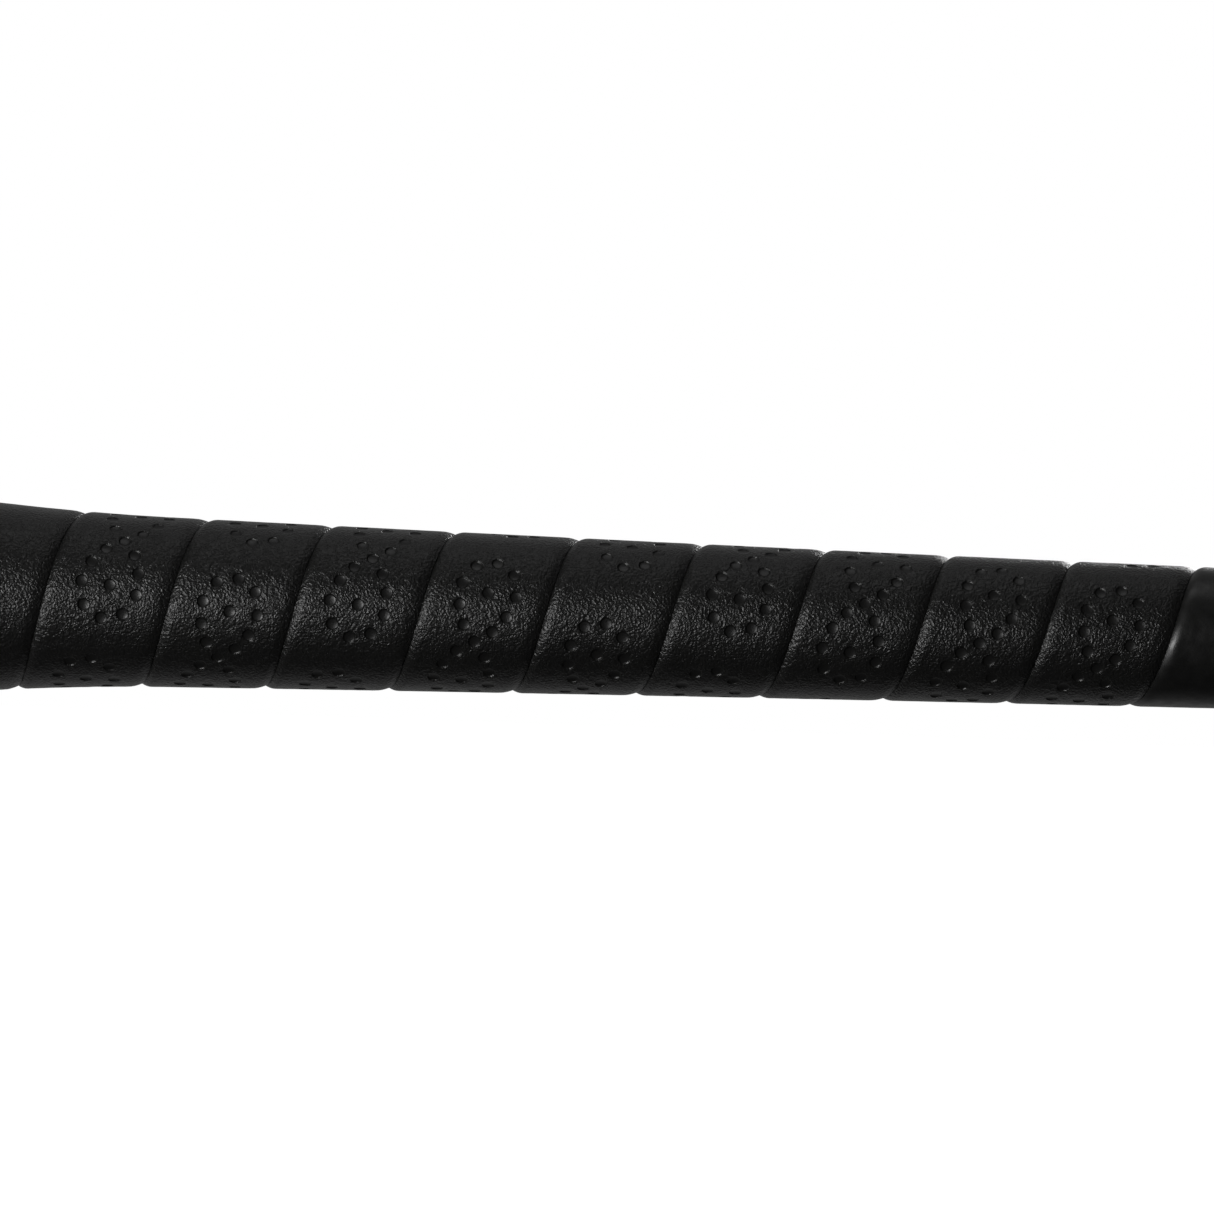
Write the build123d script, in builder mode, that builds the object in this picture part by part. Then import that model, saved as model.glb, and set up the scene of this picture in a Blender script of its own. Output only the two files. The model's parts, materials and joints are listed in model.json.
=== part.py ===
"""A wrapped golf grip: a dimpled strip wound round a rubber sleeve, with a butt cap and a tip collar.

+X runs from the butt to the tip along the club shaft and +Z is up. The origin is on the bore's
axis, where the end of the shaft stops. All sizes are in millimetres.
"""

import os

from build123d import *

# Overall sizes
grip_length = 266.7  # crown of the butt cap to the tip face
crown_height = 9.7  # crown of the butt cap to the shaft stop
shaft_bore_radius = 7.62  # a 0.600 inch core

# Outer surface of the wound strip: distances from the shaft stop, and the radii there
flare_x, flare_radius = 10.0, 14.8  # the butt's straight flare turns into an arc
taper_x, taper_radius = 36.0, 13.53  # that arc runs into the long taper
gauge_x, gauge_radius = 140.0, 11.92  # gauge point half way down
wrap_end_radius = 10.83

# The strip, from the inside out
glue_thickness = 0.2
felt_thickness = 0.9
skin_thickness = 0.7
layer_gap = 0.02  # keeps neighbouring layers apart

# How the strip is wound: a left-handed helix with one seam
strip_pitch = 19.7
seam_width = 0.3
seam_x = 21.6  # where a seam crosses the top of the grip
dimpled_turns = 9  # turns past that seam before the smooth finishing strip takes over

# Rubber sleeve
end_wall = 4.0  # closed butt end, where the shaft stops
neck_wall = 2.0  # wall of the bare neck under the tip collar
neck_length = 5.1

# Butt cap
fit_gap = 0.05  # radial clearance between glued or pressed pieces
crown_radius = 53.6  # sphere of the cap's end
cap_lip_length = 6.0  # how far the cap's lip reaches over the strip
cap_lip_wall = 1.1
cap_lip_fillet = 0.5
shoulder_fillet = 2.4

# Vented medallion, pressed through the cap and the sleeve's end wall
medallion_radius = 8.0
medallion_thickness = 1.3
medallion_recess = 0.2  # its face below the cap's crown
medallion_fillet = 0.3
stem_radius = 2.6
stem_setback = 0.6  # from the stem's end to the shaft stop
vent_radius = 1.25

# Tip collar, and the tape under its lip
collar_length = 10.0
collar_lip_length = 3.0
collar_lip_wall = 0.75
collar_lip_fillet = 0.3
collar_tip_wall = 2.3
collar_tip_fillet = 0.9
mouth_clearance = 0.18  # between the collar's mouth and a shaft
tape_thickness = 0.2
tape_width = 2.6

# Places that follow from the sizes above
tip_x = grip_length - crown_height
collar_x = tip_x - collar_length
wrap_end_x = collar_x + collar_lip_length
neck_end_x = wrap_end_x + neck_length
glue_top = layer_gap + glue_thickness
felt_top = glue_top + layer_gap + felt_thickness
strip_thickness = felt_top + layer_gap + skin_thickness
neck_radius = shaft_bore_radius + neck_wall
stem_hole_radius = stem_radius + fit_gap
joint_x = seam_x + (dimpled_turns - 1 + 0.75) * strip_pitch  # where the two strips meet, at the back
blade_radius = (flare_radius + wrap_end_radius) / 2
blade_depth = 2 * (flare_radius - wrap_end_radius) + 3 * strip_thickness

# The strip's outer line, from the tip end to the butt end, with the radius along Y
with BuildLine() as surface:
    taper = ThreePointArc((wrap_end_x, wrap_end_radius), (gauge_x, gauge_radius), (taper_x, taper_radius))
    flare = TangentArc(taper @ 1, (flare_x, flare_radius), tangent=taper % 1)
    flare_slope = (flare % 1).Y / (flare % 1).X
    Line(flare @ 1, (-end_wall, flare_radius - flare_slope * (flare_x + end_wall)))


def surface_line(height):
    """The strip's outer line, moved out by a height."""
    return surface.line.moved(Location((0, height, 0)))


def surface_point(x, height):
    """The point at a height over the strip's outer line, at a distance from the shaft stop."""
    edge = surface_line(height).edges().sort_by_distance((x, gauge_radius))[0]
    return edge.find_intersection_points(Axis((x, 0, 0), (0, 1, 0)))[0]


def layer_profile(low, high):
    """The half section of a layer between two heights over the strip's outer line."""
    inner = surface_line(low)
    outer = surface_line(high)
    with BuildSketch() as profile:
        with BuildLine():
            add([inner, outer])
            Line(inner @ 0, outer @ 0)
            Line(inner @ 1, outer @ 1)
        make_face()
    return profile.sketch


# The seam: a thin blade winding round the axis, which cuts a layer of the wrap into one long band
with BuildPart() as seam_blade:
    with BuildLine() as seam:
        Helix(
            strip_pitch,
            grip_length + 2 * strip_pitch,
            blade_radius,
            center=(seam_x - 2 * strip_pitch, 0, 0),
            direction=(1, 0, 0),
            lefthand=True,
        )
    with BuildSketch(Plane(origin=seam.line @ 0, x_dir=(1, 0, 0), z_dir=(0, 1, 0))):
        Rectangle(seam_width, blade_depth)
    sweep(path=seam.line, is_frenet=True)


def wound_bands(bottom, top):
    """The two bands of a layer between two heights over the sleeve: the dimpled strip's comes first."""
    with BuildPart() as layer:
        with BuildSketch(Plane.XY.rotated((-150, 0, 0))):  # the revolved faces close low at the front
            add(layer_profile(bottom - strip_thickness, top - strip_thickness))
        revolve(axis=Axis.X)
        add(seam_blade.part, mode=Mode.SUBTRACT)
        with Locations((joint_x, blade_radius, 0)):
            Box(strip_pitch, blade_depth, seam_width, mode=Mode.SUBTRACT)
    return layer.solids().sort_by(Axis.X)


glue_bands = wound_bands(layer_gap, glue_top)
felt_bands = wound_bands(glue_top + layer_gap, felt_top)
skin_bands = wound_bands(felt_top + layer_gap, strip_thickness)
finish_bands = wound_bands(glue_top + layer_gap, strip_thickness)

# Layers of the dimpled strip, from the inside out
with BuildPart() as strip_adhesive:
    add(glue_bands[0])

with BuildPart() as strip_felt:
    add(felt_bands[0])

with BuildPart() as strip_skin:
    add(skin_bands[0])

# The smooth strip that finishes the lower end, on its own adhesive
with BuildPart() as finishing_adhesive:
    add(glue_bands[-1])

with BuildPart() as finishing_strip:
    add(finish_bands[-1])

# Tape that binds the finishing strip's end under the collar's lip
with BuildPart() as binding_tape:
    with BuildSketch():
        add(layer_profile(fit_gap, fit_gap + tape_thickness))
        with Locations((wrap_end_x - tape_width / 2, 0)):
            Rectangle(tape_width, 4 * flare_radius, mode=Mode.INTERSECT)
    revolve(axis=Axis.X)

# Rubber sleeve that slides over the shaft: closed at the butt but for the stem's hole, bare at the tip
with BuildPart() as underlisting_sleeve:
    with BuildSketch():
        with BuildLine():
            wall = surface_line(-strip_thickness)
            add(wall)
            Polyline(
                wall @ 0,
                (wrap_end_x, neck_radius),
                (neck_end_x, neck_radius),
                (neck_end_x, shaft_bore_radius),
                (0, shaft_bore_radius),
                (0, stem_hole_radius),
                (-end_wall, stem_hole_radius),
                wall @ 1,
            )
        make_face()
    revolve(axis=Axis.X)

# Butt cap: a domed end with a lip over the start of the strip and a recess for the medallion
with BuildPart() as butt_cap:
    underside_x = -end_wall - layer_gap
    lip_inner = surface_point(cap_lip_length - end_wall, fit_gap)
    lip_outer = lip_inner + (0, cap_lip_wall)
    rim_radius = lip_outer.Y - flare_slope * (crown_height + lip_outer.X)
    recess_depth = medallion_recess + medallion_thickness + layer_gap
    with BuildSketch():
        with BuildLine():
            Polyline(
                (-crown_height, 0),
                (-crown_height, rim_radius),
                lip_outer,
                lip_inner,
                (underside_x, (surface_line(fit_gap) @ 1).Y),
                (underside_x, 0),
                close=True,
            )
        make_face()
        with Locations((crown_radius - crown_height, 0)):
            Circle(crown_radius, mode=Mode.INTERSECT)
        fillet(vertices().sort_by(Axis.Y)[-1], shoulder_fillet)
        fillet(vertices().sort_by_distance(lip_outer)[0], cap_lip_fillet)
        with Locations((-crown_height, 0)):
            Rectangle(crown_height, stem_hole_radius, align=Align.MIN, mode=Mode.SUBTRACT)
            Rectangle(recess_depth, medallion_radius + fit_gap, align=Align.MIN, mode=Mode.SUBTRACT)
    revolve(axis=Axis.X)

# Medallion: a plain domed disc on a hollow stem that lets the air out while a shaft goes in
with BuildPart() as vent_medallion:
    face_x = -crown_height + medallion_recess
    with BuildSketch():
        with Locations((face_x, 0)):
            Rectangle(medallion_thickness, medallion_radius, align=Align.MIN)
        with Locations((face_x + crown_radius, 0)):
            Circle(crown_radius, mode=Mode.INTERSECT)
        fillet(vertices().group_by(Axis.Y)[-1].sort_by(Axis.X)[0], medallion_fillet)
        with Locations((-stem_setback, 0)):
            Rectangle(-stem_setback - face_x - vent_radius, stem_radius, align=(Align.MAX, Align.MIN))
        with Locations((-crown_height, 0)):
            Rectangle(crown_height, vent_radius, align=Align.MIN, mode=Mode.SUBTRACT)
    revolve(axis=Axis.X)

# Tip collar: a rubber bead over the end of the wrap and the sleeve's neck
with BuildPart() as tip_collar:
    mouth_radius = shaft_bore_radius + mouth_clearance
    lip_height = tape_thickness + 2 * fit_gap
    lip_mouth = surface_point(collar_x, lip_height)
    lip_top = lip_mouth + (0, collar_lip_wall)
    with BuildSketch():
        with BuildLine():
            lip = Line(lip_top, (wrap_end_x + collar_lip_wall, lip_top.Y))
            bead = TangentArc(lip @ 1, (tip_x, mouth_radius + collar_tip_wall), tangent=lip % 1)
            Polyline(
                bead @ 1,
                (tip_x, mouth_radius),
                (neck_end_x + layer_gap, mouth_radius),
                (neck_end_x + layer_gap, neck_radius + fit_gap),
                (wrap_end_x + layer_gap, neck_radius + fit_gap),
                (wrap_end_x + layer_gap, (surface_line(lip_height) @ 0).Y),
                lip_mouth,
                lip_top,
            )
        make_face()
        fillet(vertices().sort_by_distance(lip_top)[0], collar_lip_fillet)
        fillet(vertices().sort_by_distance(bead @ 1)[0], collar_tip_fillet)
    revolve(axis=Axis.X)

pieces = {
    "underlisting_sleeve": underlisting_sleeve,
    "strip_adhesive": strip_adhesive,
    "strip_felt": strip_felt,
    "strip_skin": strip_skin,
    "finishing_adhesive": finishing_adhesive,
    "finishing_strip": finishing_strip,
    "binding_tape": binding_tape,
    "butt_cap": butt_cap,
    "vent_medallion": vent_medallion,
    "tip_collar": tip_collar,
}
os.makedirs("parts", exist_ok=True)
for name, piece in pieces.items():
    piece.part.label = name
    export_step(piece.part, f"parts/{name}.step")
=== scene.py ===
"""A wrapped golf grip: a dimpled strip wound round a rubber sleeve, with its butt cap and tip collar.

The frame's nodes set every place. Sizes here are in millimetres unless a name says metres, +X runs from the
butt to the tip, and the origin is where the shaft stops in the bore.
"""

import json
import math
from collections import Counter

import bmesh
import bpy
import numpy
from mathutils import Matrix, Vector
from mathutils.geometry import delaunay_2d_cdt

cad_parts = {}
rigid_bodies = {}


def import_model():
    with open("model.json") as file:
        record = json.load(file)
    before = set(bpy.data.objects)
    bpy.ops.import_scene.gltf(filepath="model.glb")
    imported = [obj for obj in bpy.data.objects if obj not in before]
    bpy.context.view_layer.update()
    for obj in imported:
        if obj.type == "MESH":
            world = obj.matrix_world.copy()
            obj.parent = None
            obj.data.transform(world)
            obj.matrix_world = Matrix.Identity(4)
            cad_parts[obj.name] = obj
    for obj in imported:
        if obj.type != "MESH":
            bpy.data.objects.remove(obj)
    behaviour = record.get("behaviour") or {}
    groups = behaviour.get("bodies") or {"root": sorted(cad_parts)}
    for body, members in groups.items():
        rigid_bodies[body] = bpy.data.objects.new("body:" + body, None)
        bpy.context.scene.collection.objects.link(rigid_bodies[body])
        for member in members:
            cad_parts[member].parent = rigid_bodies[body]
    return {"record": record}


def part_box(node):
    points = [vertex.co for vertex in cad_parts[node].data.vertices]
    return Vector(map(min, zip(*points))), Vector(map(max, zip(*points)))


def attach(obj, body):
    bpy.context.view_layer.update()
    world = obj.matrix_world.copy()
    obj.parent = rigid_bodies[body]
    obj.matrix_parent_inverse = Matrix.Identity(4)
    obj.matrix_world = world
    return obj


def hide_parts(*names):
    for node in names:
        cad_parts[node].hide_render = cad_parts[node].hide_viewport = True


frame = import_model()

MM = 0.001
TURN = 2 * math.pi
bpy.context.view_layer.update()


def node_span(name):
    """Where a node starts and ends along the grip, in millimetres."""
    low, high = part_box(name)
    return low[0] / MM, high[0] / MM


# The outer surface of the wrap: places along the grip, and the radii there
BORE_RADIUS = frame["record"]["mounts"][0]["dims"]["r_mm"]
STRIP_START, _ = node_span("strip_skin")
_, WRAP_END = node_span("finishing_strip")
FLARE_X, FLARE_RADIUS = 10.0, 14.8
TAPER_X, TAPER_RADIUS = 36.0, 13.53
GAUGE_X, GAUGE_RADIUS = 140.0, 11.92
WRAP_END_RADIUS = 10.83

# The strip as it is wound
PITCH = 19.7
SEAM_X = 21.6  # where a seam crosses the top
JOINT_TURNS = 8.25  # turns from that seam to the joint with the finishing strip
SKIN_THICKNESS = 0.7
FINISH_THICKNESS = 1.6
STRIP_WIDTH = 19.1  # across the flat strip
EDGE_CLEARANCE = 0.03  # left between neighbouring turns

# The seam: both edges are rounded over, the butt side's more tightly
GROOVE_DEPTH = 0.55
BUTT_SHOULDER = 1.45
TIP_SHOULDER = 2.3
ROUNDNESS = 1.9  # power of the fall towards the seam
UNEVENNESS = 0.03

# The pattern pressed into the strip: figures of eight, made of dots
DOT_RIM = 1.03  # radius where the skin starts to turn down
DOT_FLOOR = 0.9  # radius of the dished floor
DOT_WALL = 0.13  # depth of the wall round the floor
DOT_DISH = 0.13  # depth of the dish below it
PATTERN_LENGTH = 35.0
PATTERN_START = -14.0  # from the seam at the top to a crossing, along the strip
FIRST_PATTERN = -1
# The strip is pulled by hand, so the figures drift from even spacing: figure number, and drift
PATTERN_DRIFT = [
    (-1, 3), (0, 2.6), (2, -0.1), (5, -1.8), (7, -2.4), (9, -1), (10, 1.2), (12, 0.1), (15, -0.5), (18, 1.4)
]
# One quarter of a figure: dots by their places from the crossing, along and across the strip
EIGHT = [(0, 0), (2.3, 2.3), (5.2, 3.8), (8.7, 4.4), (12.2, 3.1), (13.6, 0), (8.2, 0)]
FAR = 99.0  # stored where a point belongs to no dot

# The fittings at the ends
FIT_GAP = 0.05  # round glued and pressed pieces
LAYER_GAP = 0.02
CAP_CROWN = -9.7  # the cap's crown, from the shaft stop
CROWN_SPHERE = 53.6
SHOULDER_FILLET = 2.4
CAP_LIP_LENGTH = 6.0
CAP_LIP_WALL = 1.1
CAP_LIP_FILLET = 0.5
MEDALLION_RADIUS = 8.0
MEDALLION_THICKNESS = 1.3
MEDALLION_RECESS = 0.2
STEM_RADIUS = 2.6
STEM_SETBACK = 0.6
VENT_RADIUS = 1.25
COLLAR_LIP_WALL = 0.75
COLLAR_TIP_WALL = 2.3
MOUTH_CLEARANCE = 0.18
TAPE_THICKNESS = 0.2
NECK_WALL = 2.0
_, NECK_END = node_span("underlisting_sleeve")
_, TIP = node_span("tip_collar")

# Floor and camera
FLOOR_Z = -0.16  # metres
FLOOR_REACH = 6  # metres each way
VIEW_WIDTH = 193.6 * MM
VIEW_ROLL = math.radians(1.964)
VIEW_CENTRE = Vector((105.1, 0, 1.63)) * MM


def fit_surface():
    """Numbers of the outer surface: two quadratics that share a slope, and the straight butt flare."""
    reach = [GAUGE_X - TAPER_X, WRAP_END - TAPER_X]
    drop = [GAUGE_RADIUS - TAPER_RADIUS, WRAP_END_RADIUS - TAPER_RADIUS]
    slope, bend = numpy.linalg.solve([[d, d * d] for d in reach], drop)
    back = FLARE_X - TAPER_X
    flare_bend = (FLARE_RADIUS - TAPER_RADIUS - slope * back) / back**2
    return {
        "Taper Start": TAPER_X,
        "Taper Radius": TAPER_RADIUS,
        "Taper Slope": slope,
        "Taper Bend": bend,
        "Flare Reach": back,
        "Flare Bend": flare_bend,
        "Butt Slope": slope + 2 * flare_bend * back,
    }


SURFACE = fit_surface()


def surface_radius(x):
    """Radius of the wrap's outer surface at a distance from the shaft stop."""
    along = numpy.asarray(x, float) - SURFACE["Taper Start"]
    curved = numpy.maximum(along, SURFACE["Flare Reach"])
    bend = numpy.where(curved < 0, SURFACE["Flare Bend"], SURFACE["Taper Bend"])
    arc = SURFACE["Taper Radius"] + SURFACE["Taper Slope"] * curved + bend * curved**2
    return arc + SURFACE["Butt Slope"] * (along - curved)


class Winding:
    """Turns places on the flat strip into how far it is wound and how far across a turn they lie."""

    def __init__(self):
        self.wind = numpy.linspace(-4 * TURN, 14 * TURN, 8000)
        radius = surface_radius(SEAM_X + PITCH * (self.wind / TURN + 0.5))
        step = numpy.hypot(radius, PITCH / TURN)
        length = numpy.concatenate([[0], numpy.cumsum((step[1:] + step[:-1]) / 2 * numpy.diff(self.wind))])
        self.length = length - numpy.interp(0, self.wind, length)

    def place(self, along, across):
        """Wind angle and distance past the turn's seam, for a place along the strip and across it."""
        wind = numpy.interp(along, self.length, self.wind)
        radius = surface_radius(SEAM_X + PITCH * (wind / TURN + 0.5))
        lean = numpy.arctan(PITCH / TURN / radius)
        off_centre = (numpy.asarray(across, float) / STRIP_WIDTH - 0.5) * PITCH * numpy.cos(lean)
        wind_here = wind - off_centre * numpy.sin(lean) / radius
        past_seam = PITCH / 2 + off_centre * numpy.cos(lean) + PITCH * (wind - wind_here) / TURN
        return wind_here, past_seam

    def along_for(self, goal, across):
        """Where along the strip a measure of (wind, past seam) reaches zero, for each place across it."""
        low = numpy.full(len(across), self.length[0])
        high = numpy.full(len(across), self.length[-1])
        for _ in range(40):
            middle = (low + high) / 2
            short = goal(*self.place(middle, across)) < 0
            low, high = numpy.where(short, middle, low), numpy.where(short, high, middle)
        return (low + high) / 2


WINDING = Winding()


def grip_x(wind, past_seam):
    """Distance along the grip from the shaft stop."""
    return SEAM_X + PITCH * wind / TURN + past_seam


def at_joint(wind, past_seam):
    """How far a place is wound past the joint of the two strips."""
    return wind - JOINT_TURNS * TURN


def triangulated(outline, inside):
    """Triangles over a flat outline and the points inside it, with the outline's points first."""
    points = [Vector(p) for p in [*outline, *inside]]
    ring = list(range(len(outline)))
    _, _, faces, origin, _, _ = delaunay_2d_cdt(points, [], [ring], 1, 1e-5, True)
    number = {new: old for new, olds in enumerate(origin) for old in olds}
    faces = [[number[v] for v in face] for face in faces]
    rim = {frozenset((v, (v + 1) % len(outline))) for v in range(len(outline))}
    stray = True
    while stray:  # slivers outside a straight rim hang on by one edge
        sides = [[frozenset(side) for side in zip(face, face[1:] + face[:1])] for face in faces]
        shared = Counter(side for face in sides for side in face)
        stray = [n for n, face in enumerate(sides) if any(shared[e] == 1 and e not in rim for e in face)]
        faces = [face for n, face in enumerate(faces) if n not in stray]
    return points, faces


def strip_blank(name, start, end, thickness, pattern):
    """The flat strip as a closed mesh, with what the winding needs stored on its points."""
    column = 0.95  # spacing along the strip's edges
    spacing = 1.2  # and over its middle
    width = STRIP_WIDTH
    cut_across = numpy.linspace(0, width, 22)
    cut_start = WINDING.along_for(start, cut_across)
    cut_end = WINDING.along_for(end, cut_across)

    def edge_columns(first, last):
        return numpy.linspace(first, last, int((last - first) / column))

    butt_edge = [(u, 0) for u in edge_columns(cut_start[0], cut_end[0])]
    tip_edge = [(u, width) for u in edge_columns(cut_start[-1], cut_end[-1])]
    outline = butt_edge + list(zip(cut_end, cut_across))[1:-1] + tip_edge[::-1]
    outline += list(zip(cut_start, cut_across))[-2:0:-1]

    centres = numpy.array(pattern) if len(pattern) else numpy.empty((0, 2))

    def clear_of_cuts(along, across, margin):
        first = numpy.interp(across, cut_across, cut_start) + margin
        last = numpy.interp(across, cut_across, cut_end) - margin
        return (along > first) & (along < last)

    centres = centres[clear_of_cuts(centres[:, 0], centres[:, 1], 2 * DOT_RIM)]

    # Rows close together where the edges are rounded, then a triangular lattice between them
    rows = [0.06, 0.16, 0.3, 0.5, 0.75, 1.05, 1.45, width - 0.08, width - 0.2, width - 0.38, width - 0.62]
    rows += [width - 0.9, width - 1.25, width - 1.7]
    inside = []
    for number, row in enumerate(rows):
        along = edge_columns(cut_start.min(), cut_end.max()) + column * (number % 2) / 2
        inside.append(numpy.column_stack([along, numpy.full(len(along), row)]))
    for number, row in enumerate(numpy.arange(2.0, width - 2.2, spacing * math.sqrt(0.75))):
        along = numpy.arange(cut_start.min(), cut_end.max(), spacing) + spacing * (number % 2) / 2
        inside.append(numpy.column_stack([along, numpy.full(len(along), row)]))
    inside = numpy.concatenate(inside)
    inside = inside[clear_of_cuts(inside[:, 0], inside[:, 1], 0.5)]

    # The lattice gives way to rings of points round each dot
    if len(centres):
        centres = centres[numpy.argsort(centres[:, 0])]
        nearest = numpy.full(len(inside), FAR)
        first = numpy.searchsorted(centres[:, 0], inside[:, 0] - 3)
        last = numpy.searchsorted(centres[:, 0], inside[:, 0] + 3)
        for number, (a, b) in enumerate(zip(first, last)):
            if b > a:
                nearest[number] = numpy.hypot(*(centres[a:b] - inside[number]).T).min()
        inside = inside[nearest > DOT_RIM + 0.45]
    from_dot = [numpy.full(len(outline) + len(inside), FAR)]
    ring_points = []
    for radius in (DOT_RIM + 0.04, DOT_RIM - 0.03, DOT_FLOOR + 0.03, DOT_FLOOR - 0.06, DOT_FLOOR * 0.6, 0):
        count = 18 if radius else 1
        angle = numpy.arange(count) * TURN / count
        ring = radius * numpy.column_stack([numpy.cos(angle), numpy.sin(angle)])
        ring_points.append((centres[:, None, :] + ring[None]).reshape(-1, 2))
        from_dot.append(numpy.full(len(centres) * count, radius))
    inside = numpy.concatenate([inside, *ring_points])
    top_points, top_faces = triangulated(outline, inside.tolist())

    # The underside is coarser, and walls join the two
    coarse = [
        (u, v)
        for v in numpy.arange(2.5, width - 1, 2.8)
        for u in numpy.arange(cut_start.min(), cut_end.max(), 2.4)
        if clear_of_cuts(u, v, 1.5)
    ]
    low_points, low_faces = triangulated(outline, coarse)
    count = len(top_points)
    faces = top_faces + [[v + count for v in face[::-1]] for face in low_faces]
    for this in range(len(outline)):
        following = (this + 1) % len(outline)
        faces.append([following, this, this + count, following + count])
    faces = [face[::-1] for face in faces]  # winding turns the strip over

    flat = numpy.array([tuple(p) for p in top_points + low_points])
    wind, past_seam = WINDING.place(flat[:, 0], flat[:, 1])
    under = numpy.concatenate([numpy.zeros(count), numpy.ones(len(low_points))])
    from_dot = numpy.concatenate([*from_dot, numpy.full(len(low_points), FAR)])
    mesh = bpy.data.meshes.new(name)
    mesh.from_pydata([(u * MM, v * MM, -thickness * MM * w) for (u, v), w in zip(flat, under)], [], faces)
    stored = {"wind": wind, "past_seam": past_seam, "from_dot": from_dot, "under": under}
    for label, values in stored.items():
        mesh.attributes.new(label, "FLOAT", "POINT").data.foreach_set("value", values.astype(numpy.float32))
    return mesh


def add_node(tree, kind, inputs=None, **settings):
    """Adds a node with its settings, and links or sets its inputs, named or numbered."""
    made = tree.nodes.new(kind)
    for setting, value in settings.items():
        setattr(made, setting, value)
    for key, value in (inputs or {}).items():
        if isinstance(value, bpy.types.NodeSocket):
            tree.links.new(value, made.inputs[key])
        else:
            made.inputs[key].default_value = value
    return made


def winding_tree():
    """Geometry nodes that wind a flat strip round the grip and press its dots and edges in."""
    tree = bpy.data.node_groups.new("Wind the strip", "GeometryNodeTree")
    sizes = {
        **SURFACE,
        "Pitch": PITCH,
        "Seam X": SEAM_X,
        "Thickness": SKIN_THICKNESS,
        "Groove Depth": GROOVE_DEPTH,
        "Butt Shoulder": BUTT_SHOULDER,
        "Tip Shoulder": TIP_SHOULDER,
        "Roundness": ROUNDNESS,
        "Dot Rim": DOT_RIM,
        "Dot Floor": DOT_FLOOR,
        "Dot Wall": DOT_WALL,
        "Dot Dish": DOT_DISH,
        "Unevenness": UNEVENNESS,
        "Edge Clearance": EDGE_CLEARANCE,
    }
    tree.interface.new_socket("Geometry", in_out="INPUT", socket_type="NodeSocketGeometry")
    for label, value in sizes.items():
        socket = tree.interface.new_socket(label, in_out="INPUT", socket_type="NodeSocketFloat")
        socket.default_value = value
    tree.interface.new_socket("Finish", in_out="INPUT", socket_type="NodeSocketMaterial")
    tree.interface.new_socket("Geometry", in_out="OUTPUT", socket_type="NodeSocketGeometry")
    size = add_node(tree, "NodeGroupInput").outputs

    stored = {}
    for label in ("wind", "past_seam", "from_dot", "under"):
        reader = add_node(tree, "GeometryNodeInputNamedAttribute", {"Name": label}, data_type="FLOAT")
        stored[label] = reader.outputs[0]
    wind, past_seam = stored["wind"], stored["past_seam"]

    # Along the grip, a hair short of the neighbouring turns
    half_gap = add_node(
        tree, "ShaderNodeMath", {0: size["Edge Clearance"], 1: 0.5}, operation="MULTIPLY"
    ).outputs[0]
    far_edge = add_node(
        tree, "ShaderNodeMath", {0: size["Pitch"], 1: half_gap}, operation="SUBTRACT"
    ).outputs[0]
    across = add_node(
        tree, "ShaderNodeMapRange", {0: past_seam, 2: size["Pitch"], 3: half_gap, 4: far_edge}, clamp=False
    ).outputs[0]
    turns = add_node(tree, "ShaderNodeMath", {0: wind, 1: TURN}, operation="DIVIDE").outputs[0]
    seam = add_node(
        tree, "ShaderNodeMath", {0: turns, 1: size["Pitch"], 2: size["Seam X"]}, operation="MULTIPLY_ADD"
    ).outputs[0]
    x = add_node(tree, "ShaderNodeMath", {0: seam, 1: across}, operation="ADD").outputs[0]

    # The grip's outer surface there: a straight flare, then one of two arcs
    along = add_node(
        tree, "ShaderNodeMath", {0: x, 1: size["Taper Start"]}, operation="SUBTRACT"
    ).outputs[0]
    curved = add_node(
        tree, "ShaderNodeMath", {0: along, 1: size["Flare Reach"]}, operation="MAXIMUM"
    ).outputs[0]
    straight = add_node(tree, "ShaderNodeMath", {0: along, 1: curved}, operation="SUBTRACT").outputs[0]
    flared = add_node(tree, "ShaderNodeMath", {0: curved, 1: 0}, operation="LESS_THAN").outputs[0]
    bend = add_node(
        tree, "ShaderNodeMix", {0: flared, 2: size["Taper Bend"], 3: size["Flare Bend"]}, data_type="FLOAT"
    ).outputs[0]
    slope = add_node(
        tree, "ShaderNodeMath", {0: bend, 1: curved, 2: size["Taper Slope"]}, operation="MULTIPLY_ADD"
    ).outputs[0]
    arc = add_node(
        tree, "ShaderNodeMath", {0: slope, 1: curved, 2: size["Taper Radius"]}, operation="MULTIPLY_ADD"
    ).outputs[0]
    surface = add_node(
        tree, "ShaderNodeMath", {0: size["Butt Slope"], 1: straight, 2: arc}, operation="MULTIPLY_ADD"
    ).outputs[0]

    # How far both edges are rounded down to the seam
    tip_start = add_node(
        tree, "ShaderNodeMath", {0: size["Pitch"], 1: size["Tip Shoulder"]}, operation="SUBTRACT"
    ).outputs[0]
    to_butt = add_node(
        tree, "ShaderNodeMapRange", {0: past_seam, 2: size["Butt Shoulder"], 3: 1, 4: 0}
    ).outputs[0]
    to_tip = add_node(
        tree, "ShaderNodeMapRange", {0: past_seam, 1: tip_start, 2: size["Pitch"]}
    ).outputs[0]
    butt_side = add_node(
        tree, "ShaderNodeMath", {0: to_butt, 1: size["Roundness"]}, operation="POWER"
    ).outputs[0]
    tip_side = add_node(
        tree, "ShaderNodeMath", {0: to_tip, 1: size["Roundness"]}, operation="POWER"
    ).outputs[0]
    edges = add_node(tree, "ShaderNodeMath", {0: butt_side, 1: tip_side}, operation="ADD").outputs[0]

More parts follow.
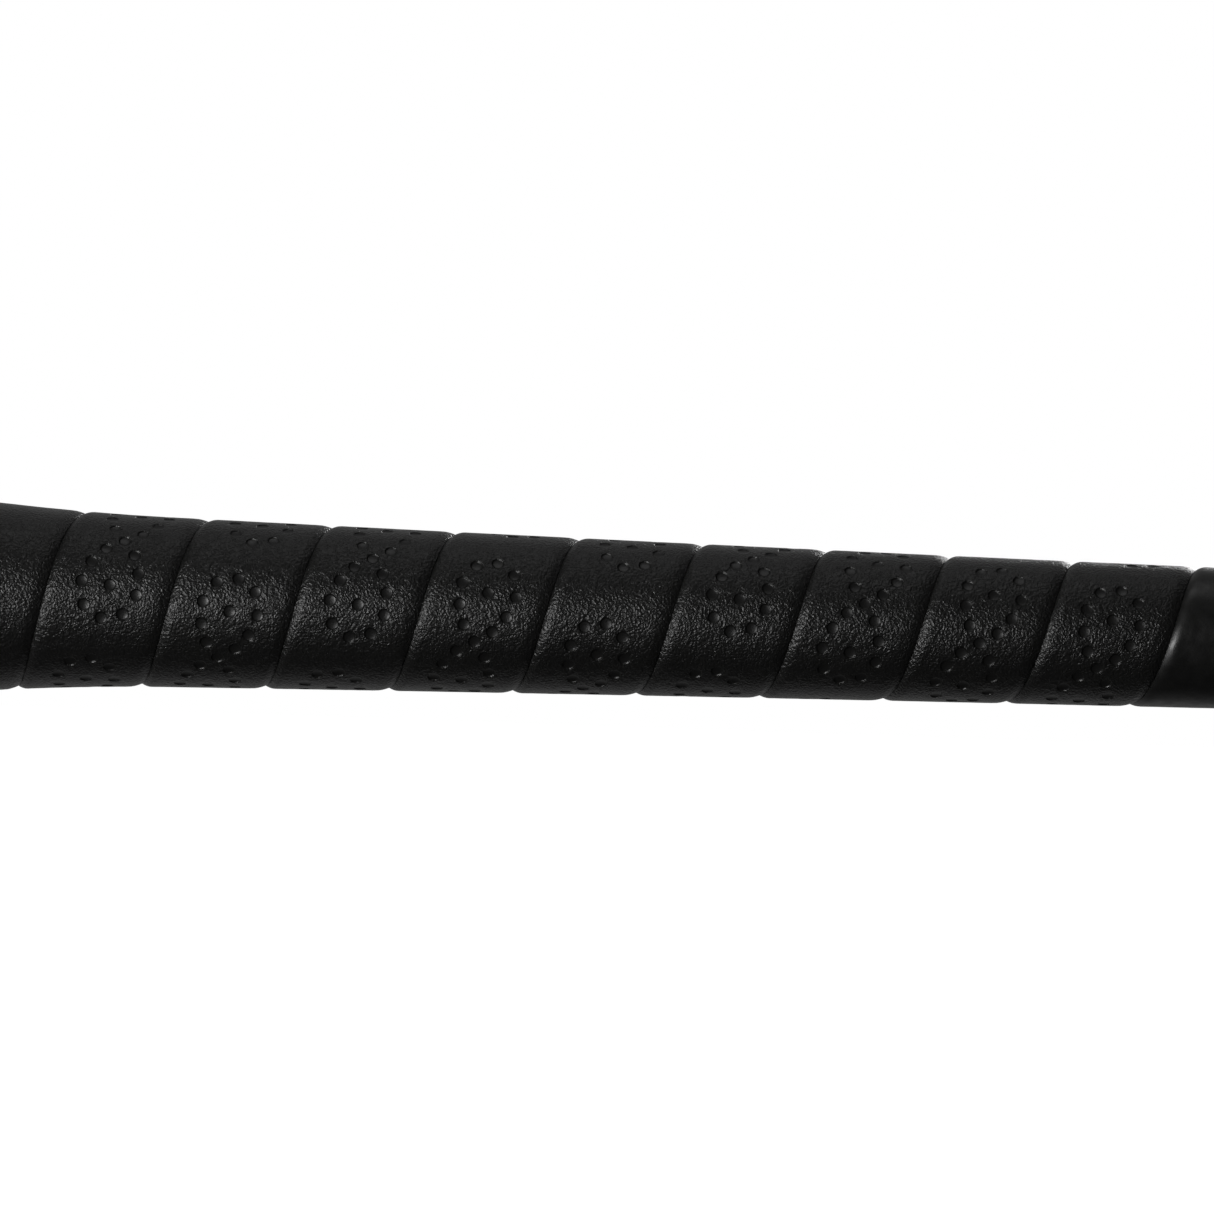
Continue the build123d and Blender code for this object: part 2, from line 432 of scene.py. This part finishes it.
    # How far each dot is pressed in: a short wall round a shallow dish
    wall = add_node(
        tree,
        "ShaderNodeMapRange",
        {0: stored["from_dot"], 1: size["Dot Floor"], 2: size["Dot Rim"], 3: size["Dot Wall"], 4: 0},
        interpolation_type="SMOOTHSTEP",
    ).outputs[0]
    share = add_node(
        tree, "ShaderNodeMapRange", {0: stored["from_dot"], 2: size["Dot Floor"]}
    ).outputs[0]
    squared = add_node(tree, "ShaderNodeMath", {0: share, 1: share}, operation="MULTIPLY").outputs[0]
    hollow = add_node(tree, "ShaderNodeMath", {0: 1, 1: squared}, operation="SUBTRACT").outputs[0]
    dot = add_node(
        tree, "ShaderNodeMath", {0: hollow, 1: size["Dot Dish"], 2: wall}, operation="MULTIPLY_ADD"
    ).outputs[0]

    # A strip pulled tight by hand is never quite even
    flat_across = add_node(
        tree, "ShaderNodeMath", {0: past_seam, 1: 0.12}, operation="MULTIPLY"
    ).outputs[0]
    flat_place = add_node(tree, "ShaderNodeCombineXYZ", {0: wind, 1: flat_across}).outputs[0]
    waver = add_node(
        tree, "ShaderNodeTexNoise", {"Vector": flat_place, "Scale": 1.4, "Detail": 1}
    ).outputs[0]
    swell = add_node(tree, "ShaderNodeMath", {0: waver, 1: 0.5}, operation="SUBTRACT").outputs[0]
    uneven = add_node(
        tree, "ShaderNodeMath", {0: swell, 1: size["Unevenness"], 2: dot}, operation="MULTIPLY_ADD"
    ).outputs[0]
    pressed = add_node(
        tree, "ShaderNodeMath", {0: edges, 1: size["Groove Depth"], 2: uneven}, operation="MULTIPLY_ADD"
    ).outputs[0]
    depth = add_node(
        tree, "ShaderNodeMix", {0: stored["under"], 2: pressed, 3: size["Thickness"]}, data_type="FLOAT"
    ).outputs[0]
    radius = add_node(tree, "ShaderNodeMath", {0: surface, 1: depth}, operation="SUBTRACT").outputs[0]

    # Wound round the axis
    sideways = add_node(tree, "ShaderNodeMath", {0: wind}, operation="SINE").outputs[0]
    upwards = add_node(tree, "ShaderNodeMath", {0: wind}, operation="COSINE").outputs[0]
    y = add_node(tree, "ShaderNodeMath", {0: radius, 1: sideways}, operation="MULTIPLY").outputs[0]
    z = add_node(tree, "ShaderNodeMath", {0: radius, 1: upwards}, operation="MULTIPLY").outputs[0]
    place = add_node(tree, "ShaderNodeCombineXYZ", {0: x, 1: y, 2: z}).outputs[0]
    metres = add_node(
        tree, "ShaderNodeVectorMath", {0: place, "Scale": MM}, operation="SCALE"
    ).outputs[0]
    wound = add_node(
        tree, "GeometryNodeSetPosition", {"Geometry": size["Geometry"], "Position": metres}
    ).outputs[0]
    smooth = add_node(tree, "GeometryNodeSetShadeSmooth", {0: wound}).outputs[0]
    real = add_node(tree, "GeometryNodeRealizeInstances", {0: smooth}).outputs[0]
    finished = add_node(
        tree, "GeometryNodeSetMaterial", {0: real, "Material": size["Finish"]}
    ).outputs[0]
    add_node(tree, "NodeGroupOutput", {0: finished})
    return tree


def wound(blank, tree, finish, **sizes):
    """The strip wound round the grip, as a plain mesh object."""
    piece = bpy.data.objects.new(blank.name, blank)
    bpy.context.scene.collection.objects.link(piece)
    modifier = piece.modifiers.new("Wind", "NODES")
    modifier.node_group = tree
    named = {item.name: item.identifier for item in tree.interface.items_tree if item.in_out == "INPUT"}
    modifier[named["Finish"]] = finish
    for label, value in sizes.items():
        modifier[named[label.replace("_", " ")]] = value
    ready = piece.evaluated_get(bpy.context.evaluated_depsgraph_get())
    plain = bpy.data.meshes.new_from_object(ready)
    piece.modifiers.clear()
    piece.data = plain
    plain.name = blank.name
    return piece


def srgb(code):
    """A colour written as sRGB hex, as the linear values that shaders take."""
    parts = [int(code[i : i + 2], 16) / 255 for i in (1, 3, 5)]
    return [*(c / 12.92 if c <= 0.04045 else ((c + 0.055) / 1.055) ** 2.4 for c in parts), 1.0]


def new_finish(name, code, roughness, **sizes):
    """A material on one Principled shader: its colour, its roughness and what else is the same all over."""
    finish = bpy.data.materials.new(name)
    finish.use_nodes = True
    shader = finish.node_tree.nodes["Principled BSDF"]
    shader.inputs["Base Color"].default_value = srgb(code)
    shader.inputs["Roughness"].default_value = roughness
    for label, value in sizes.items():
        shader.inputs[label.replace("_", " ")].default_value = value
    return finish, finish.node_tree, shader


def per_metre(millimetres):
    """Scale of a pattern whose features are this far apart."""
    return 1000 / millimetres


def varied_colour(tree, shader, place, code_a, code_b, spacing):
    """Drifts the colour between two near shades over patches of a size in millimetres."""
    patches = add_node(
        tree, "ShaderNodeTexNoise", {"Vector": place, "Scale": per_metre(spacing), "Detail": 2}
    ).outputs[0]
    shade = add_node(
        tree, "ShaderNodeMix", {0: patches, 6: srgb(code_a), 7: srgb(code_b)}, data_type="RGBA"
    ).outputs[2]
    tree.links.new(shade, shader.inputs["Base Color"])


def embossed_polyurethane():
    """Polyurethane skin embossed with a wrinkled leather grain: satin, and each wrinkle glints.

    The dots are pressed with a smooth tool, so the grain dies out inside them.
    """
    finish, tree, shader = new_finish("embossed polyurethane", "#151515", 0.38, IOR=1.5)
    place = add_node(tree, "ShaderNodeTexCoord").outputs["Object"]
    varied_colour(tree, shader, place, "#131313", "#181817", 9)
    warp = add_node(
        tree, "ShaderNodeTexNoise", {"Vector": place, "Scale": per_metre(1.25), "Detail": 1}
    ).outputs["Color"]
    pull = add_node(
        tree, "ShaderNodeVectorMath", {0: warp, "Scale": 1.2 * MM}, operation="SCALE"
    ).outputs[0]
    bent = add_node(tree, "ShaderNodeVectorMath", {0: place, 1: pull}, operation="ADD").outputs[0]
    wrinkles = add_node(
        tree,
        "ShaderNodeTexVoronoi",
        {"Vector": bent, "Scale": per_metre(0.42), "Smoothness": 0.35},
        feature="SMOOTH_F1",
    ).outputs["Distance"]
    pores = add_node(
        tree, "ShaderNodeTexNoise", {"Vector": place, "Scale": per_metre(0.2), "Detail": 1}
    ).outputs[0]
    relief = add_node(
        tree, "ShaderNodeMix", {0: 0.32, 2: wrinkles, 3: pores}, data_type="FLOAT"
    ).outputs[0]
    from_dot = add_node(tree, "ShaderNodeAttribute", attribute_name="from_dot").outputs["Fac"]
    open_skin = add_node(
        tree, "ShaderNodeMapRange", {0: from_dot, 1: DOT_FLOOR - 0.1, 2: DOT_RIM, 3: 0.12, 4: 1.0}
    ).outputs[0]
    grain = add_node(tree, "ShaderNodeMath", {0: relief, 1: open_skin}, operation="MULTIPLY").outputs[0]
    bump = add_node(tree, "ShaderNodeBump", {"Height": grain, "Strength": 1, "Distance": 0.17 * MM})
    tree.links.new(bump.outputs[0], shader.inputs["Normal"])
    return finish


def calendered_polyurethane():
    """Smooth polyurethane, rolled between polished rolls: soft satin with faint waves."""
    finish, tree, shader = new_finish("calendered polyurethane", "#141414", 0.4, IOR=1.5)
    place = add_node(tree, "ShaderNodeTexCoord").outputs["Object"]
    varied_colour(tree, shader, place, "#131313", "#171716", 12)
    waves = add_node(
        tree, "ShaderNodeTexNoise", {"Vector": place, "Scale": per_metre(3.5), "Detail": 2}
    ).outputs[0]
    haze = add_node(
        tree, "ShaderNodeTexNoise", {"Vector": place, "Scale": per_metre(0.3), "Detail": 1}
    ).outputs[0]
    relief = add_node(tree, "ShaderNodeMix", {0: 0.12, 2: waves, 3: haze}, data_type="FLOAT").outputs[0]
    bump = add_node(tree, "ShaderNodeBump", {"Height": relief, "Strength": 1, "Distance": 0.12 * MM})
    tree.links.new(bump.outputs[0], shader.inputs["Normal"])
    scuffs = add_node(
        tree, "ShaderNodeTexNoise", {"Vector": place, "Scale": per_metre(2.2), "Detail": 4}
    ).outputs[0]
    rough = add_node(
        tree, "ShaderNodeMapRange", {0: scuffs, 1: 0.3, 2: 0.7, 3: 0.34, 4: 0.48}
    ).outputs[0]
    tree.links.new(rough, shader.inputs["Roughness"])
    return finish


def moulded_rubber(name, code_a, code_b, spacing, depth, smoothest, roughest):
    """Carbon-black rubber from a spark-eroded mould: dull, with a fine even tooth and cloudy bloom."""
    finish, tree, shader = new_finish(name, code_a, roughest, IOR=1.52)
    place = add_node(tree, "ShaderNodeTexCoord").outputs["Object"]
    varied_colour(tree, shader, place, code_a, code_b, 6)
    tooth = add_node(
        tree, "ShaderNodeTexNoise", {"Vector": place, "Scale": per_metre(spacing), "Detail": 3}
    ).outputs[0]
    bump = add_node(tree, "ShaderNodeBump", {"Height": tooth, "Strength": 1, "Distance": depth * MM})
    tree.links.new(bump.outputs[0], shader.inputs["Normal"])
    bloom = add_node(
        tree, "ShaderNodeTexNoise", {"Vector": place, "Scale": per_metre(4), "Detail": 3}
    ).outputs[0]
    rough = add_node(
        tree, "ShaderNodeMapRange", {0: bloom, 1: 0.3, 2: 0.7, 3: smoothest, 4: roughest}
    ).outputs[0]
    tree.links.new(rough, shader.inputs["Roughness"])
    return finish


def turned_abs():
    """ABS medallion with the fine rings that a faced mould leaves, so its highlight spreads to a fan."""
    finish, tree, shader = new_finish("faced ABS", "#1b1b1c", 0.3, IOR=1.53)
    place = add_node(tree, "ShaderNodeTexCoord").outputs["Object"]
    rings = add_node(
        tree,
        "ShaderNodeTexWave",
        {"Vector": place, "Scale": per_metre(0.3) / 20, "Distortion": 0.4, "Detail": 1},
        wave_type="RINGS",
        rings_direction="X",
    ).outputs["Fac"]
    bump = add_node(tree, "ShaderNodeBump", {"Height": rings, "Strength": 1, "Distance": 0.012 * MM})
    tree.links.new(bump.outputs[0], shader.inputs["Normal"])
    varied_colour(tree, shader, place, "#1a1a1b", "#202021", 5)
    return finish


def needled_felt():
    """Polyester felt backing, needled to a dense mat of dark fibres."""
    finish, tree, shader = new_finish("needled felt", "#26262a", 0.95, Sheen_Weight=0.3)
    place = add_node(tree, "ShaderNodeTexCoord").outputs["Object"]
    fibres = add_node(
        tree,
        "ShaderNodeTexNoise",
        {"Vector": place, "Scale": per_metre(0.15), "Detail": 4, "Distortion": 1.5},
    ).outputs[0]
    bump = add_node(tree, "ShaderNodeBump", {"Height": fibres, "Strength": 1, "Distance": 0.08 * MM})
    tree.links.new(bump.outputs[0], shader.inputs["Normal"])
    varied_colour(tree, shader, place, "#1f1f22", "#303035", 0.8)
    return finish


def adhesive_film():
    """Acrylic adhesive film, amber and slightly stringy."""
    finish, tree, shader = new_finish("acrylic adhesive", "#a08a52", 0.35, IOR=1.47)
    place = add_node(tree, "ShaderNodeTexCoord").outputs["Object"]
    varied_colour(tree, shader, place, "#94804c", "#b09a62", 3)
    strings = add_node(
        tree, "ShaderNodeTexNoise", {"Vector": place, "Scale": per_metre(0.8), "Detail": 2}
    ).outputs[0]
    bump = add_node(tree, "ShaderNodeBump", {"Height": strings, "Strength": 1, "Distance": 0.05 * MM})
    tree.links.new(bump.outputs[0], shader.inputs["Normal"])
    return finish


def filament_tape():
    """Polyester strapping tape: fine filaments run round the grip and catch the light in lines.

    Real filaments are about 0.1 mm apart, too fine to show, so they are drawn 0.4 mm apart.
    """
    finish, tree, shader = new_finish("filament tape", "#171717", 0.45, IOR=1.5)
    place = add_node(tree, "ShaderNodeTexCoord").outputs["Object"]
    filaments = add_node(
        tree, "ShaderNodeTexWave", {"Vector": place, "Scale": per_metre(0.4) / 20}, bands_direction="X"
    ).outputs["Fac"]
    bump = add_node(tree, "ShaderNodeBump", {"Height": filaments, "Strength": 1, "Distance": 0.03 * MM})
    tree.links.new(bump.outputs[0], shader.inputs["Normal"])
    varied_colour(tree, shader, place, "#151515", "#1c1c1c", 4)
    return finish


FINISHES = {
    "strip_polyurethane": embossed_polyurethane(),
    "finishing_polyurethane": calendered_polyurethane(),
    "cap_rubber": moulded_rubber("moulded cap rubber", "#131313", "#191918", 0.35, 0.03, 0.42, 0.58),
    "sleeve_rubber": moulded_rubber("sleeve rubber", "#181817", "#1f1f1d", 0.6, 0.05, 0.6, 0.8),
    "medallion_plastic": turned_abs(),
    "backing_felt": needled_felt(),
    "adhesive": adhesive_film(),
    "strapping_tape": filament_tape(),
}


def pattern_dots(end_along):
    """Centres of the pressed dots, figure after figure along the strip."""
    quarters = sorted({(sx * u, sy * v) for u, v in EIGHT for sx in (1, -1) for sy in (1, -1)})
    dots = []
    number = FIRST_PATTERN
    while PATTERN_START + number * PATTERN_LENGTH < end_along:
        crossing = PATTERN_START + number * PATTERN_LENGTH + numpy.interp(number, *zip(*PATTERN_DRIFT))
        dots += [(crossing + u, STRIP_WIDTH / 2 + v) for u, v in quarters]
        number += 1
    return dots


def arc_points(centre, start, end, count=8):
    """Points along the short way round a circle, from one point on it to another."""
    first = math.atan2(start[1] - centre[1], start[0] - centre[0])
    sweep = (math.atan2(end[1] - centre[1], end[0] - centre[0]) - first + math.pi) % TURN - math.pi
    radius = math.dist(centre, start)
    angles = [first + sweep * step / (count - 1) for step in range(count)]
    return [(centre[0] + radius * math.cos(a), centre[1] + radius * math.sin(a)) for a in angles]


def rounded(corners):
    """An outline from corners (x, radius from the axis, fillet), each fillet drawn as an arc."""
    outline = []
    for number, (x, r, fillet) in enumerate(corners):
        corner = Vector((x, r))
        if not fillet:
            outline.append((x, r))
            continue
        before = (Vector(corners[number - 1][:2]) - corner).normalized()
        after = (Vector(corners[(number + 1) % len(corners)][:2]) - corner).normalized()
        half = before.angle(after) / 2
        centre = corner + (before + after).normalized() * (fillet / math.sin(half))
        reach = fillet / math.tan(half)
        outline += arc_points(centre, corner + before * reach, corner + after * reach)
    return outline


def turned(name, outline, segments=144):
    """A closed outline, as (x, radius) in millimetres, turned round the grip's axis into a plain mesh."""
    angle = numpy.arange(segments) * TURN / segments
    shape = numpy.array(outline)
    x = numpy.repeat(shape[:, 0], segments)
    y = numpy.outer(shape[:, 1], numpy.sin(angle)).ravel()
    z = numpy.outer(shape[:, 1], numpy.cos(angle)).ravel()
    faces = []
    for ring in range(len(shape)):
        this, following = ring * segments, (ring + 1) % len(shape) * segments
        for step in range(segments):
            beside = (step + 1) % segments
            faces.append([this + step, this + beside, following + beside, following + step])
    mesh = bpy.data.meshes.new(name)
    mesh.from_pydata((numpy.column_stack([x, y, z]) * MM).tolist(), [], faces)
    body = bmesh.new()
    body.from_mesh(mesh)
    if body.calc_volume(signed=True) < 0:
        bmesh.ops.reverse_faces(body, faces=body.faces)
    body.to_mesh(mesh)
    body.free()
    mesh.shade_smooth()
    mesh.set_sharp_from_angle(angle=math.radians(32))
    piece = bpy.data.objects.new(name, mesh)
    bpy.context.scene.collection.objects.link(piece)
    return piece


def crown_x(radius, setback=0.0):
    """Where the cap's domed end lies at a distance from the axis."""
    return CAP_CROWN + setback + CROWN_SPHERE - math.sqrt(CROWN_SPHERE**2 - radius**2)


def cap_outline():
    """The butt cap: dome with a recess, rounded shoulder with a mould line, and a lip over the strip."""
    lip_x = STRIP_START + CAP_LIP_LENGTH
    wall = CAP_LIP_WALL
    inner = [float(surface_radius(x)) + FIT_GAP for x in (lip_x, STRIP_START)]
    slope = (inner[0] - inner[1]) / (lip_x - STRIP_START)
    underside = STRIP_START - LAYER_GAP
    recess = MEDALLION_RADIUS + FIT_GAP
    floor_x = CAP_CROWN + MEDALLION_RECESS + MEDALLION_THICKNESS + LAYER_GAP

    def side(x):
        return inner[0] + wall + slope * (x - lip_x)

    shoulder = side(crown_x(side(CAP_CROWN)))
    bead = recess + 1.6
    groove_x = underside + 0.6
    corners = [
        (underside, STEM_RADIUS + FIT_GAP, 0),
        (floor_x, STEM_RADIUS + FIT_GAP, 0),
        (floor_x, recess, 0.1),
        (crown_x(recess), recess, 0.25),
        (crown_x(bead), bead, 0.2),
        (crown_x(bead + 0.25, 0.22), bead + 0.25, 0.1),
        (crown_x(bead + 0.7, 0.22), bead + 0.7, 0.1),
        (crown_x(bead + 0.95), bead + 0.95, 0.2),
    ]
    corners += [(crown_x(r), r, 0) for r in numpy.linspace(bead + 1.3, shoulder - 3.2, 6)]
    corners += [
        (crown_x(shoulder), shoulder, SHOULDER_FILLET),
        (groove_x - 0.35, side(groove_x - 0.35), 0.12),
        (groove_x - 0.15, side(groove_x) - 0.22, 0.06),
        (groove_x + 0.15, side(groove_x) - 0.22, 0.06),
        (groove_x + 0.35, side(groove_x + 0.35), 0.12),
        (lip_x, side(lip_x), CAP_LIP_FILLET),
        (lip_x, inner[0], 0.12),
        (underside, inner[1], 0),
    ]
    return rounded(corners)


def medallion_outline():
    """The plain vented medallion: a rim round a flat field, on a hollow stem."""
    back = CAP_CROWN + MEDALLION_RECESS + MEDALLION_THICKNESS
    rim = MEDALLION_RADIUS - 0.9
    corners = [
        (crown_x(VENT_RADIUS, MEDALLION_RECESS + 0.12), VENT_RADIUS, 0.25),
        (crown_x(rim - 0.2, MEDALLION_RECESS + 0.12), rim - 0.2, 0.08),
        (crown_x(rim, MEDALLION_RECESS), rim, 0.08),
        (crown_x(MEDALLION_RADIUS, MEDALLION_RECESS), MEDALLION_RADIUS, 0.3),
        (back, MEDALLION_RADIUS, 0.1),
        (back, STEM_RADIUS, 0.2),
        (-STEM_SETBACK, STEM_RADIUS, 0.3),
        (-STEM_SETBACK, VENT_RADIUS, 0.15),
    ]
    return rounded(corners)


def collar_outline():
    """The tip collar: a lip over the wrap, a rounded bead with two fine grooves, and the mouth."""
    start, tip = node_span("tip_collar")
    seat = NECK_END + LAYER_GAP
    lip_inner = float(surface_radius(start)) + TAPE_THICKNESS + 2 * FIT_GAP
    wrap_inner = float(surface_radius(WRAP_END)) + TAPE_THICKNESS + 2 * FIT_GAP
    lip_outer = lip_inner + COLLAR_LIP_WALL
    mouth = BORE_RADIUS + MOUTH_CLEARANCE
    bead_start = WRAP_END + COLLAR_LIP_WALL
    drop = lip_outer - mouth - COLLAR_TIP_WALL
    sphere = ((tip - bead_start) ** 2 + drop**2) / (2 * drop)

    def bead(x):
        return lip_outer - sphere + math.sqrt(sphere**2 - max(x - bead_start, 0) ** 2)

    corners = [(start, lip_inner, 0.1), (start, lip_outer, 0.3)]
    for groove in (WRAP_END - 0.6, WRAP_END + 0.6):
        corners += [
            (groove - 0.28, lip_outer, 0.08),
            (groove - 0.12, lip_outer - 0.2, 0.05),
            (groove + 0.12, lip_outer - 0.2, 0.05),
            (groove + 0.28, lip_outer, 0.08),
        ]
    corners += [(x, bead(x), 0) for x in numpy.linspace(WRAP_END + 1.1, tip - 1.6, 9)]
    corners += [
        (tip, bead(tip), 0.9),
        (tip, mouth, 0.35),
        (seat, mouth, 0),
        (seat, BORE_RADIUS + NECK_WALL + FIT_GAP, 0),
        (WRAP_END + LAYER_GAP, BORE_RADIUS + NECK_WALL + FIT_GAP, 0),
        (WRAP_END + LAYER_GAP, wrap_inner, 0),
    ]
    return rounded(corners)


def stands_for(piece, node, slot_name):
    """Puts a piece in a node's place, with that node's finish."""
    piece.data.materials.clear()
    piece.data.materials.append(FINISHES[slot_name])
    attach(piece, "root")
    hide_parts(node)


def studio_floor():
    """A matte white sheet well below the grip that glows as painted light: fainter near the grip, rising to
    plain white away from it.
    """
    finish, tree, shader = new_finish("emissive white sheet", "#ececec", 0.9, Emission_Color=srgb("#ffffff"))
    place = add_node(tree, "ShaderNodeTexCoord").outputs["Object"]
    middle = ((TIP + CAP_CROWN) / 2 * MM, 0, FLOOR_Z)
    from_grip = add_node(
        tree, "ShaderNodeVectorMath", {0: place, 1: middle}, operation="DISTANCE"
    ).outputs["Value"]
    # Painted light: the sheet glows at about half strength near the grip and at full white half a metre
    # away
    painted_glow = add_node(
        tree,
        "ShaderNodeMapRange",
        {0: from_grip, 1: 0.1, 2: 0.5, 3: 0.55, 4: 1.1},
        interpolation_type="SMOOTHSTEP",
    ).outputs[0]
    tree.links.new(painted_glow, shader.inputs["Emission Strength"])
    mesh = bpy.data.meshes.new("floor")
    corners = [(-1, -1), (1, -1), (1, 1), (-1, 1)]
    mesh.from_pydata([(x * FLOOR_REACH, y * FLOOR_REACH, FLOOR_Z) for x, y in corners], [], [(0, 1, 2, 3)])
    mesh.materials.append(finish)
    floor = bpy.data.objects.new("floor", mesh)
    bpy.context.scene.collection.objects.link(floor)
    floor.visible_glossy = False
    floor.visible_diffuse = False


def softbox(name, place, aim, width, height, power):
    """A soft light, which the camera doesn't see."""
    light = bpy.data.lights.new(name, "AREA")
    light.shape = "RECTANGLE"
    light.size, light.size_y, light.energy = width, height, power
    item = bpy.data.objects.new(name, light)
    bpy.context.scene.collection.objects.link(item)
    item.location = place
    item.rotation_mode = "QUATERNION"
    item.rotation_quaternion = (Vector(aim) - Vector(place)).to_track_quat("-Z", "Y")
    item.visible_camera = False


# The strips: the dimpled one up to the joint, then the smooth one to the tip
winding = winding_tree()
dimpled = wound(
    strip_blank(
        "wound_strip",
        lambda wind, past_seam: grip_x(wind, past_seam) - STRIP_START,
        at_joint,
        SKIN_THICKNESS,
        pattern_dots(WINDING.along_for(at_joint, numpy.array([0.0]))[0]),
    ),
    winding,
    FINISHES["strip_polyurethane"],
)
stands_for(dimpled, "strip_skin", "strip_polyurethane")
finishing = wound(
    strip_blank(
        "wound_finishing_strip",
        at_joint,
        lambda wind, past_seam: grip_x(wind, past_seam) - WRAP_END,
        FINISH_THICKNESS,
        [],
    ),
    winding,
    FINISHES["finishing_polyurethane"],
    Thickness=FINISH_THICKNESS,
)
stands_for(finishing, "finishing_strip", "finishing_polyurethane")

# The turned fittings
stands_for(turned("moulded_butt_cap", cap_outline()), "butt_cap", "cap_rubber")
stands_for(turned("plain_medallion", medallion_outline(), 96), "vent_medallion", "medallion_plastic")
stands_for(turned("moulded_tip_collar", collar_outline()), "tip_collar", "cap_rubber")

# The other nodes keep their own meshes and take the finish of their slot
for part in frame["record"]["subparts"]:
    item = bpy.data.objects[part["node"]]
    item.data.materials.clear()
    item.data.materials.append(FINISHES[part["material_slot"]])

# Floor, light and camera
studio_floor()

# The camera sees plain white, and the grip a dim room that is brighter behind it
world = bpy.data.worlds.new("studio")
world.use_nodes = True
tree = world.node_tree
direction = add_node(tree, "ShaderNodeTexCoord").outputs["Generated"]
depth_way = add_node(tree, "ShaderNodeSeparateXYZ", {0: direction}).outputs[1]
level = add_node(
    tree,
    "ShaderNodeMapRange",
    {0: depth_way, 1: 0.2, 2: 0.8, 3: 0.01, 4: 0.3},
    interpolation_type="SMOOTHSTEP",
).outputs[0]
seen = add_node(tree, "ShaderNodeLightPath").outputs["Is Camera Ray"]
strength = add_node(tree, "ShaderNodeMix", {0: seen, 2: level, 3: 1.0}, data_type="FLOAT").outputs[0]
tree.nodes["Background"].inputs["Color"].default_value = srgb("#ffffff")
tree.links.new(strength, tree.nodes["Background"].inputs["Strength"])
bpy.context.scene.world = world
bpy.context.scene.view_settings.view_transform = "Standard"


softbox("key", (-0.75, -1.2, 0.04), (0.09, 0, 0), 0.6, 0.42, 14)
softbox("rear", (0.7, 1.3, 0.35), (0.15, 0, 0), 0.6, 0.42, 8)
softbox("butt_end", (-1.2, 0.5, 0.1), (0, 0, 0), 0.8, 0.8, 7)
softbox("tip_end", (1.4, 0.8, 0.1), (0.25, 0, 0), 0.8, 0.8, 7)
softbox("overhead", (0.1, -0.1, 1.2), (0.1, 0, 0), 0.8, 0.5, 1.2)

camera = bpy.data.cameras.new("camera")
camera.sensor_width, camera.lens = 36, 150
camera_item = bpy.data.objects.new("camera", camera)
bpy.context.scene.collection.objects.link(camera_item)
distance = VIEW_WIDTH * camera.lens / camera.sensor_width
ahead = Vector((0, 1, 0))
up = Vector((-math.sin(VIEW_ROLL), 0, math.cos(VIEW_ROLL)))
turned_to_view = Matrix((ahead.cross(up), up, -ahead)).transposed().to_4x4()
camera_item.matrix_world = Matrix.Translation(VIEW_CENTRE - ahead * distance) @ turned_to_view
bpy.context.scene.camera = camera_item
